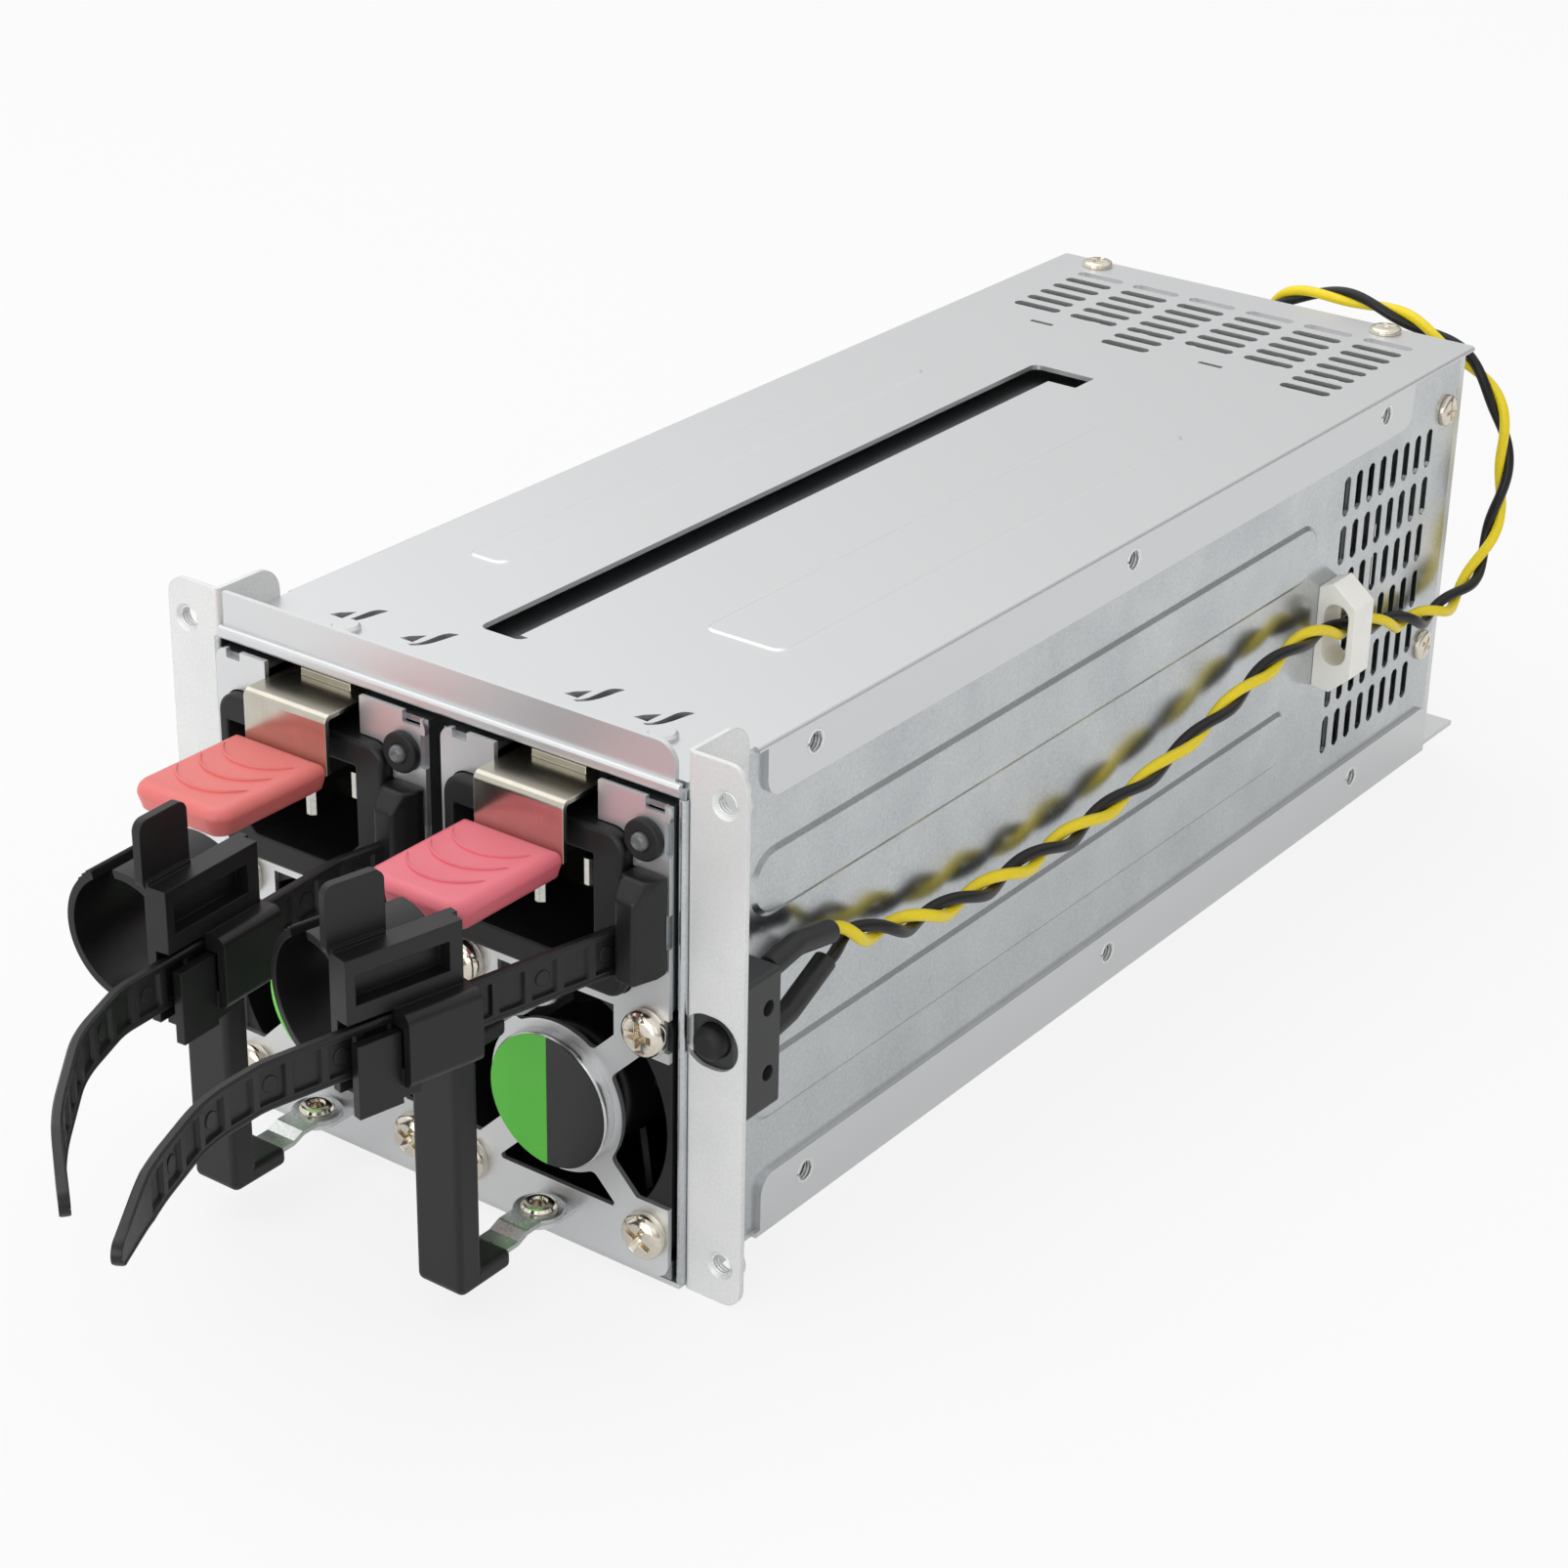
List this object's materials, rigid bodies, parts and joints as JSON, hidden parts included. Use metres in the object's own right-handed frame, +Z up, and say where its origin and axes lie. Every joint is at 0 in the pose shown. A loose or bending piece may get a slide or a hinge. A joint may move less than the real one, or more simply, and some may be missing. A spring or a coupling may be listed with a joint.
{
  "type": "hot swap server power supply",
  "caption": "Sheet steel cage with two slide-out power modules, each with an inlet, a fan behind a stamped guard, a latch, a pull handle and a cord clip, and an alarm lead along the side.",
  "frame": {"origin": "on the underside of the cage floor, midway between the ears, in the plane of the ears' front faces", "axes": "+X to the right seen from the front, +Y to the rear of the cage, +Z up"},
  "size_m": [0.103, 0.3325, 0.082],
  "materials": {
    "galvanised_steel": "matt zinc",
    "nickel_steel": "bright nickel",
    "circuit_board": "solder mask",
    "black_plastic": "fine texture",
    "black_nylon": "semi gloss",
    "yellow_pvc": "gloss",
    "white_nylon": "satin",
    "clear_lens": "diffused",
    "coral_plastic": "fine texture",
    "badge_green": "gloss film",
    "ferrite": "matt"
  },
  "bodies": {
    "cage": {"base_tray": "galvanised_steel", "top_cover": "galvanised_steel", "side_wall_left": "galvanised_steel", "side_wall_right": "galvanised_steel", "ear_brackets": "galvanised_steel", "front_frame": "galvanised_steel", "rear_panel": "galvanised_steel", "divider": "galvanised_steel", "case_screws": "nickel_steel", "cover_rivets": "nickel_steel", "backplane_board": "circuit_board", "card_edge_sockets": "black_plastic", "output_header": "black_plastic", "alarm_switch": "black_plastic", "lead_sleeves": "black_plastic", "alarm_lead": "yellow_pvc", "cable_saddle": "white_nylon"},
    "alarm_push": {"alarm_button": "black_plastic"},
    "module_left": {"shell_tray_left": "galvanised_steel", "shell_cover_left": "galvanised_steel", "front_plate_left": "galvanised_steel", "inlet_body_left": "black_plastic", "inlet_pins_left": "nickel_steel", "led_holder_left": "black_plastic", "led_lens_left": "clear_lens", "fan_frame_left": "black_plastic", "fan_screws_left": "nickel_steel", "hub_badge_left": "badge_green", "handle_rivets_left": "nickel_steel", "module_board_left": "circuit_board", "capacitors_left": "black_plastic", "transformer_left": "ferrite", "cord_strap_left": "black_nylon"},
    "fan_left": {"fan_rotor_left": "black_plastic"},
    "latch_left": {"latch_spring_left": "nickel_steel", "latch_pad_left": "coral_plastic"},
    "handle_left": {"handle_grip_left": "black_plastic", "handle_straps_left": "nickel_steel"},
    "clip_left": {"cord_clip_left": "black_nylon"},
    "module_right": {"shell_tray_right": "galvanised_steel", "shell_cover_right": "galvanised_steel", "front_plate_right": "galvanised_steel", "inlet_body_right": "black_plastic", "inlet_pins_right": "nickel_steel", "led_holder_right": "black_plastic", "led_lens_right": "clear_lens", "fan_frame_right": "black_plastic", "fan_screws_right": "nickel_steel", "hub_badge_right": "badge_green", "handle_rivets_right": "nickel_steel", "module_board_right": "circuit_board", "capacitors_right": "black_plastic", "transformer_right": "ferrite", "cord_strap_right": "black_nylon"},
    "fan_right": {"fan_rotor_right": "black_plastic"},
    "latch_right": {"latch_spring_right": "nickel_steel", "latch_pad_right": "coral_plastic"},
    "handle_right": {"handle_grip_right": "black_plastic", "handle_straps_right": "nickel_steel"},
    "clip_right": {"cord_clip_right": "black_nylon"}
  },
  "joints": [
    {"name": "alarm_push", "type": "slide", "parent": "cage", "child": "alarm_push", "axis": [0, 1, 0], "range_m": [0, 0.0015], "stiffness_N_per_m": 600, "springref_m": -0.0004},
    {"name": "module_left_slide", "type": "slide", "parent": "cage", "child": "module_left", "axis": [0, -1, 0], "range_m": [0, 0.19]},
    {"name": "fan_left_spin", "type": "hinge", "parent": "module_left", "child": "fan_left", "pos_m": [-0.021, 0.01, 0.0239], "axis": [0, 1, 0], "continuous": true},
    {"name": "latch_left_press", "type": "hinge", "parent": "module_left", "child": "latch_left", "pos_m": [-0.021, 0.028, 0.0732], "axis": [1, 0, 0], "range_deg": [0, 4], "stiffness_Nm_per_rad": 5, "springref_deg": -1.15},
    {"name": "handle_left_swing", "type": "hinge", "parent": "module_left", "child": "handle_left", "pos_m": [-0.021, -0.006, 0.025], "axis": [0, 0, 1], "range_deg": [-60, 60]},
    {"name": "cord_clip_left_slide", "type": "slide", "parent": "module_left", "child": "clip_left", "axis": [0.0609, -0.9981, 0], "range_m": [-0.005, 0.006]},
    {"name": "module_right_slide", "type": "slide", "parent": "cage", "child": "module_right", "axis": [0, -1, 0], "range_m": [0, 0.19], "deforming": ["cord_strap_left"]},
    {"name": "fan_right_spin", "type": "hinge", "parent": "module_right", "child": "fan_right", "pos_m": [0.021, 0.01, 0.0239], "axis": [0, 1, 0], "continuous": true},
    {"name": "latch_right_press", "type": "hinge", "parent": "module_right", "child": "latch_right", "pos_m": [0.021, 0.028, 0.0732], "axis": [1, 0, 0], "range_deg": [0, 4], "stiffness_Nm_per_rad": 5, "springref_deg": -1.15},
    {"name": "handle_right_swing", "type": "hinge", "parent": "module_right", "child": "handle_right", "pos_m": [0.021, -0.006, 0.025], "axis": [0, 0, 1], "range_deg": [-60, 60]},
    {"name": "cord_clip_right_slide", "type": "slide", "parent": "module_right", "child": "clip_right", "axis": [-0.2201, -0.9755, 0], "range_m": [-0.002, 0.007]}
  ]
}
